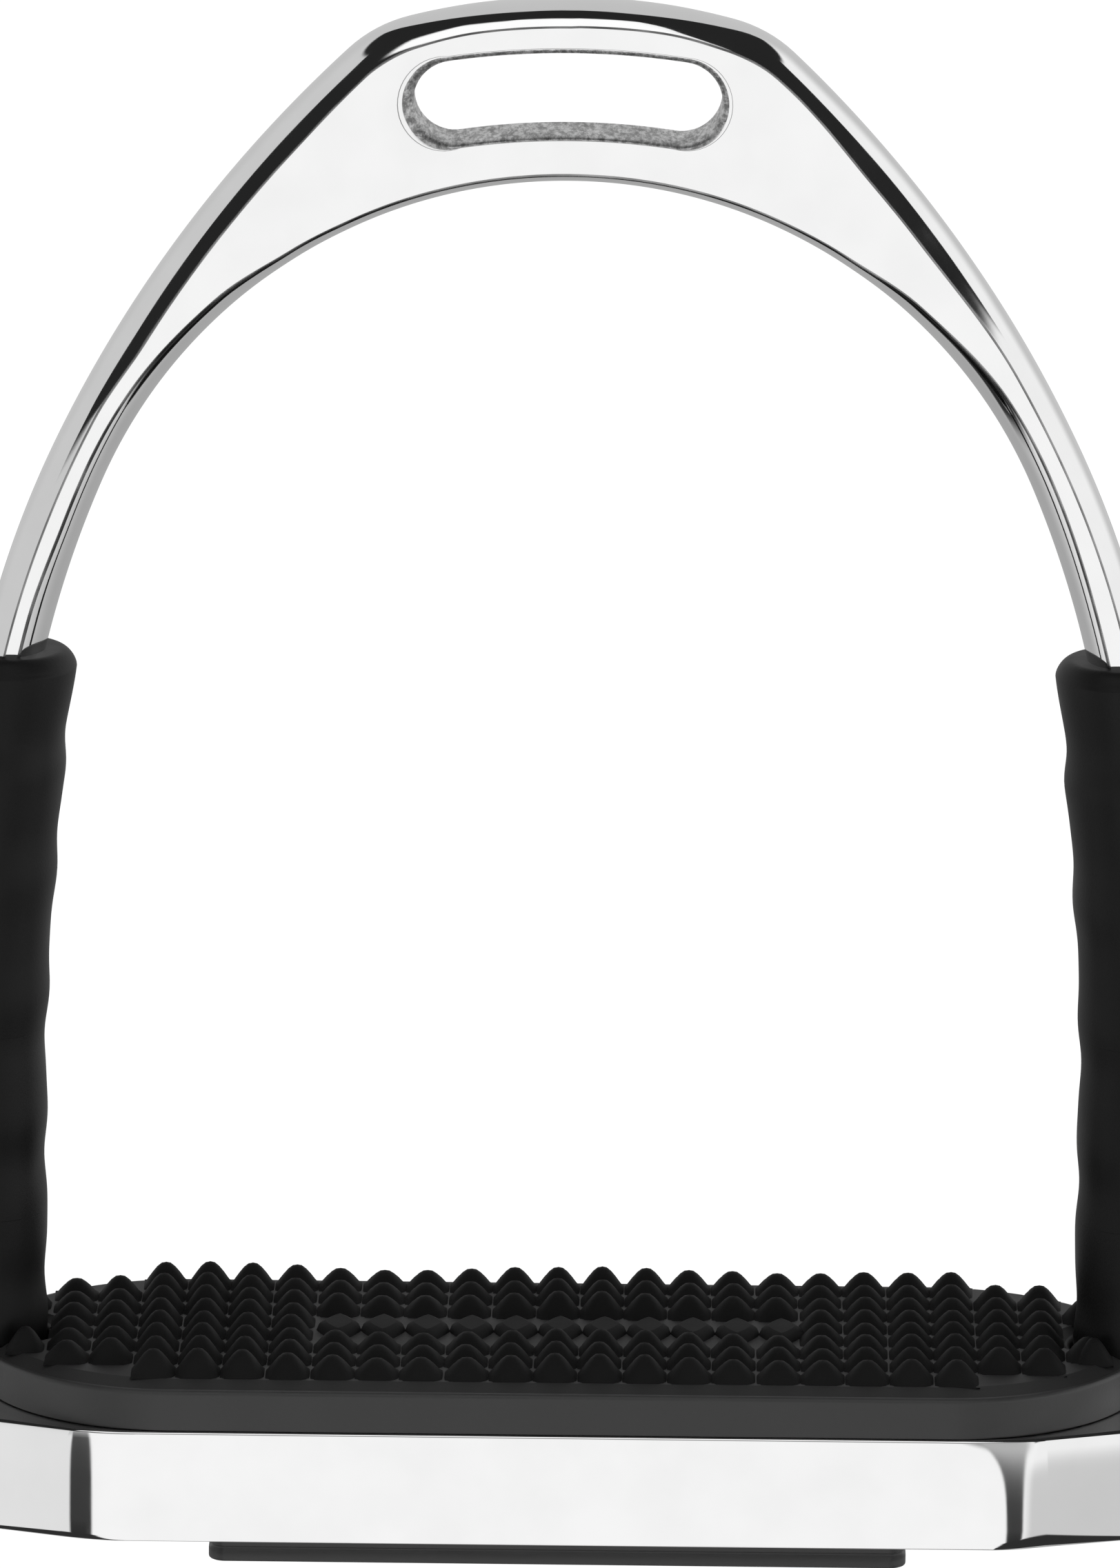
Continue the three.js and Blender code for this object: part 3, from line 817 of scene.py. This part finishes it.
def make_sleeves(material):
    """Each sleeve in three stretches, one above another."""
    for name, side in SIDES.items():
        for i, (place, (bottom, top, bend)) in enumerate(SLEEVE_STRETCHES.items()):
            piece = make_sleeve(side, f"rubber_sleeve_{name}_{place}", bottom, top, bend, material)
            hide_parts(f"sleeve_{name}")


# Materials


class Nodes:
    """Short calls that add and join the nodes of one node tree."""

    def __init__(self, tree):
        self.tree = tree
        tree.nodes.clear()

    def add(self, kind, inputs=(), **settings):
        node = self.tree.nodes.new(kind)
        for key, value in settings.items():
            setattr(node, key, value)
        for key, value in dict(inputs).items():
            socket = node.inputs[key]
            if isinstance(value, bpy.types.NodeSocket):
                self.tree.links.new(value, socket)
            else:
                socket.default_value = value
        return node

    def math(self, operation, *values):
        return self.add("ShaderNodeMath", dict(enumerate(values)), operation=operation).outputs[0]

    def noise(self, place, scale, detail=3.0, roughness=0.5):
        inputs = {"Vector": place, "Scale": scale, "Detail": detail, "Roughness": roughness}
        return self.add("ShaderNodeTexNoise", inputs).outputs["Fac"]

    def span(self, value, low, high, to_low, to_high):
        """Eases from to_low to to_high while the value goes from low to high."""
        inputs = {"Value": value, "From Min": low, "From Max": high, "To Min": to_low, "To Max": to_high}
        return self.add("ShaderNodeMapRange", inputs, interpolation_type="SMOOTHSTEP").outputs[0]

    def grey(self, tone):
        channels = {"Red": tone, "Green": tone, "Blue": tone}
        return self.add("ShaderNodeCombineColor", channels).outputs[0]

    def steel(self, tone, roughness):
        """Shader inputs of grey metal."""
        return {"Base Color": self.grey(tone), "Metallic": 1.0, "Roughness": roughness}

    def scratches(self):
        """Fine scratches that run across the bow."""
        return self.noise(self.stretched((900, 60, 900)), 1.0, 4.0)

    def stretched(self, scale):
        """Places on the object, scaled along each axis."""
        place = self.add("ShaderNodeTexCoord").outputs["Object"]
        return self.add("ShaderNodeMapping", {"Vector": place, "Scale": scale}).outputs[0]


def new_material(name):
    material = bpy.data.materials.new(name)
    material.use_nodes = True
    return material, Nodes(material.node_tree)


def finish_material(nodes, shader_inputs, bumps):
    """Adds the shader, with a chain of bumps (height, distance, strength)."""
    normal = None
    for height, distance, strength in bumps:
        inputs = {"Height": height, "Distance": distance, "Strength": strength}
        if normal is not None:
            inputs["Normal"] = normal
        normal = nodes.add("ShaderNodeBump", inputs).outputs[0]
    shader = nodes.add("ShaderNodeBsdfPrincipled", {**shader_inputs, "Normal": normal})
    nodes.add("ShaderNodeOutputMaterial", {"Surface": shader.outputs[0]})


def polished_steel():
    """Nearly a mirror, with a faint haze and fine scratches."""
    material, nodes = new_material("polished steel")
    haze = nodes.noise(nodes.stretched((1, 1, 1)), 120.0)
    roughness = nodes.span(haze, 0.3, 0.75, 0.035, 0.075)
    tone = nodes.span(haze, 0.2, 0.8, 0.84, 0.88)
    finish_material(nodes, nodes.steel(tone, roughness), [(nodes.scratches(), 0.000004, 0.15)])
    return material


def painted_shade_crease_steel():
    """The narrow lines along the bow's creases and the slot's rim: rougher steel, whose darker tone is
    painted shade for the dark line that the crease reflects.
    """
    material, nodes = new_material("crease steel with painted dark line")
    haze = nodes.noise(nodes.stretched((1, 1, 1)), 160.0)
    # Painted shade: the crease lines get a much darker tone than the polished steel, for the dark line
    # that the crease reflects.
    tone = nodes.span(haze, 0.3, 0.7, 0.22, 0.5)
    roughness = nodes.span(haze, 0.3, 0.7, 0.2, 0.35)
    finish_material(nodes, nodes.steel(tone, roughness), [(nodes.scratches(), 0.00001, 0.3)])
    return material


def cast_steel():
    """The slot's wall, which the polishing wheel doesn't reach."""
    material, nodes = new_material("rough cast steel")
    place = nodes.stretched((1, 0.3, 1))
    grain = nodes.noise(place, 1500.0, 4.0, 0.75)
    lumps = nodes.noise(place, 420.0, 3.0)
    tone = nodes.span(grain, 0.36, 0.66, 0.28, 0.85)
    roughness = nodes.span(lumps, 0.3, 0.7, 0.3, 0.5)
    finish_material(nodes, nodes.steel(tone, roughness), [(lumps, 0.0003, 0.5), (grain, 0.00015, 0.6)])
    return material


def machined_steel():
    """The joints inside the sleeves."""
    material, nodes = new_material("machined steel")
    turning = nodes.noise(nodes.stretched((300, 300, 6000)), 1.0, 3.0)
    haze = nodes.noise(nodes.stretched((1, 1, 1)), 300.0)
    tone = nodes.span(haze, 0.3, 0.7, 0.5, 0.62)
    roughness = nodes.span(haze, 0.3, 0.7, 0.28, 0.42)
    finish_material(nodes, nodes.steel(tone, roughness), [(turning, 0.00002, 0.4)])
    return material


def rubber(name, dark, light, rough, grain_scale, specular):
    """Rubber that is clouded between two tones, with a fine grain."""
    material, nodes = new_material(name)
    place = nodes.stretched((1, 1, 1))
    cloud = nodes.noise(place, 90.0, 4.0)
    grain = nodes.noise(place, grain_scale, 3.0, 0.6)
    tone = nodes.span(cloud, 0.3, 0.7, dark, light)
    inputs = {
        "Base Color": nodes.grey(tone),
        "Roughness": nodes.span(cloud, 0.3, 0.7, rough - 0.05, rough + 0.06),
        "Specular IOR Level": specular,
    }
    finish_material(nodes, inputs, [(cloud, 0.0002, 0.25), (grain, 0.00005, 0.35)])
    return material


# Stage


class Sky(Nodes):
    """The world's nodes, with the directions, in degrees, that the studio's parts are placed by.

    turn is the angle from straight ahead of the stirrup, 0 in front and 180 behind, rise is the
    angle above the horizon and fall the angle below it. The two sides are lit a little differently.
    """

    def __init__(self, tree):
        super().__init__(tree)
        way = self.add("ShaderNodeTexCoord").outputs["Generated"]
        split = self.add("ShaderNodeSeparateXYZ", {"Vector": way}).outputs
        across = self.math("ABSOLUTE", split["X"])
        ahead = self.math("MULTIPLY", split["Y"], -1.0)
        self.turn = self.math("DEGREES", self.math("ARCTAN2", across, ahead))
        self.rise = self.math("DEGREES", self.math("ARCSINE", split["Z"]))
        self.fall = self.math("MULTIPLY", self.rise, -1.0)
        self.right = self.span(split["X"], -0.02, 0.02, 0.0, 1.0)

    def by_side(self, left, right):
        return self.span(self.right, 0.0, 1.0, left, right)

    def step(self, value, edge, soft):
        """0 below the edge and 1 above it."""
        low = self.math("SUBTRACT", edge, soft)
        high = self.math("ADD", edge, soft)
        return self.span(value, low, high, 0.0, 1.0)

    def band(self, value, low, high, soft):
        """1 from low to high and 0 outside."""
        past = self.math("SUBTRACT", 1.0, self.step(value, high, soft))
        return self.math("MULTIPLY", self.step(value, low, soft), past)

    def paint(self, under, mask, tone):
        inputs = {"Factor": mask, "A": under, "B": tone}
        return self.add("ShaderNodeMix", inputs, data_type="FLOAT").outputs[0]


def room(sky):
    """Grey walls and floor, white straight ahead, with a grey panel above the horizon there."""
    wall = sky.span(sky.turn, 110.0, 150.0, sky.by_side(0.66, 0.98), 0.60)
    below = sky.span(sky.turn, 60.0, 130.0, sky.by_side(0.86, 0.66), 0.42)
    tone = sky.paint(wall, sky.span(sky.rise, -14.0, -6.0, 1.0, 0.0), below)
    tone = sky.paint(tone, sky.span(sky.turn, 22.0, 31.0, 1.0, 0.0), LIGHT["ahead"])
    front = sky.span(sky.turn, 20.0, 26.0, 1.0, 0.0)
    front = sky.math("MULTIPLY", front, sky.band(sky.rise, 0.0, 38.0, 5.0))
    return sky.paint(tone, front, LIGHT["front"])


def with_ceiling(sky, tone):
    """A dark ceiling, lowest on both sides of straight ahead and higher beside and behind."""
    edge = sky.span(sky.turn, 17.0, 23.0, 70.0, sky.by_side(10.4, 12.5))
    edge = sky.math("ADD", edge, sky.span(sky.turn, 30.0, 75.0, 0.0, sky.by_side(0.0, 11.5)))
    side_end = sky.span(sky.turn, sky.by_side(68.0, 78.0), sky.by_side(76.0, 86.0), 0.0, 44.0)
    edge = sky.math("MAXIMUM", edge, side_end)
    edge = sky.math("MAXIMUM", edge, sky.span(sky.turn, 105.0, 165.0, 0.0, 72.0))
    return sky.paint(tone, sky.step(sky.rise, edge, 1.8), LIGHT["ceiling"])


def with_soft_box(sky, tone):
    """A bright soft box high in front, wider on the left."""
    box = sky.span(sky.turn, sky.by_side(36.0, 11.0), sky.by_side(44.0, 17.0), 1.0, 0.0)
    box = sky.math("MULTIPLY", box, sky.band(sky.rise, 38.0, 68.0, 3.0))
    return sky.paint(tone, box, LIGHT["box"])


def with_flags(sky, tone):
    """Dark flags that stand low in front, and dark floor in front of and beside the stirrup."""
    low_flag = sky.band(sky.turn, sky.by_side(24.0, 11.5), sky.by_side(38.0, 23.5), 1.0)
    low_flag = sky.math("MULTIPLY", low_flag, sky.band(sky.rise, -40.0, 10.0, 3.0))
    tone = sky.paint(tone, low_flag, sky.span(sky.rise, -20.0, 4.0, 0.03, 0.5))
    near_foot = sky.band(sky.turn, sky.by_side(22.0, 9.5), 58.0, 2.0)
    near_foot = sky.math("MULTIPLY", near_foot, sky.step(sky.fall, 21.5, 2.5))
    under = sky.band(sky.turn, 36.0, sky.by_side(115.0, 100.0), 3.0)
    under = sky.math("MULTIPLY", under, sky.step(sky.fall, sky.by_side(40.0, 45.0), 3.0))
    return sky.paint(tone, sky.math("MAXIMUM", near_foot, under), LIGHT["foot"])


def studio_world():
    world = bpy.data.worlds.new("studio")
    world.use_nodes = True
    bpy.context.scene.world = world
    sky = Sky(world.node_tree)
    tone = with_flags(sky, with_soft_box(sky, with_ceiling(sky, room(sky))))
    background = sky.add("ShaderNodeBackground", {"Color": (1, 1, 1, 1), "Strength": tone})
    sky.add("ShaderNodeOutputWorld", {"Surface": background.outputs[0]})


def make_floor():
    """The pale floor that the camera sees; its light on the stirrup comes from the world below."""
    mesh = bpy.data.meshes.new("floor")
    size = FLOOR_HALF_SIZE
    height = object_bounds()[0][2] - FLOOR_GAP
    corners = [(-size, -size, height), (size, -size, height), (size, size, height), (-size, size, height)]
    mesh.from_pydata(corners, [], [(0, 1, 2, 3)])
    floor = bpy.data.objects.new("floor", mesh)
    bpy.context.scene.collection.objects.link(floor)
    material, nodes = new_material("pale floor")
    light = nodes.add("ShaderNodeEmission", {"Color": (1, 1, 1, 1), "Strength": LIGHT["floor"]})
    nodes.add("ShaderNodeOutputMaterial", {"Surface": light.outputs[0]})
    mesh.materials.append(material)
    floor.visible_glossy = False
    floor.visible_diffuse = False
    floor.visible_shadow = False


def make_camera():
    azimuth, elevation, roll = (math.radians(CAMERA[name]) for name in ("azimuth", "elevation", "roll"))
    back = Vector((
        math.sin(azimuth) * math.cos(elevation),
        -math.cos(azimuth) * math.cos(elevation),
        math.sin(elevation),
    ))
    turn = back.to_track_quat("Z", "Y").to_matrix() @ Matrix.Rotation(roll, 3, "Z")
    data = bpy.data.cameras.new("camera")
    data.lens = CAMERA["lens"]
    data.clip_end = 50
    camera = bpy.data.objects.new("camera", data)
    place = Vector(CAMERA_AIM) * MM + back * CAMERA["distance"]
    camera.matrix_world = Matrix.LocRotScale(place, turn, None)
    bpy.context.scene.collection.objects.link(camera)
    bpy.context.scene.camera = camera


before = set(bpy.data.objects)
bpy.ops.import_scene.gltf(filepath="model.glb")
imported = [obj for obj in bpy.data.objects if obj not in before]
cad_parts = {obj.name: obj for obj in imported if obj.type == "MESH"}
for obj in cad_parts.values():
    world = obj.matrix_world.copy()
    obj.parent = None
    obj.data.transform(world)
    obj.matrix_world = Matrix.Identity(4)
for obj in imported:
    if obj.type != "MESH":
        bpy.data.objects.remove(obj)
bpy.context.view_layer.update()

make_camera()
make_floor()
studio_world()
bpy.context.scene.view_settings.view_transform = "Standard"

steel = polished_steel()
make_bow(steel, cast_steel(), painted_shade_crease_steel())
make_base(steel)
# The pad's three rubbers are lit and shaded copies of one rubber: painted light on the wall, which faces
# the front light, and painted shade on the studs, whose tops face the dark ceiling; the field lies
# between.
make_pad(
    rubber("moulded pad rubber with painted light", 0.05, 0.06, 0.42, 2600.0, 0.5),
    rubber("worn stud rubber with painted shade", 0.008, 0.013, 0.75, 2600.0, 0.25),
    rubber("pad field rubber", 0.03, 0.038, 0.6, 2600.0, 0.4),
)
make_sleeves(rubber("sleeve rubber", 0.004, 0.008, 0.48, 3200.0, 0.28))

hardware = machined_steel()
for node_name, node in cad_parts.items():
    if node_name.startswith(("knuckle", "link", "pitch_pin", "lower", "upper")):
        node.data.materials.clear()
        node.data.materials.append(hardware)
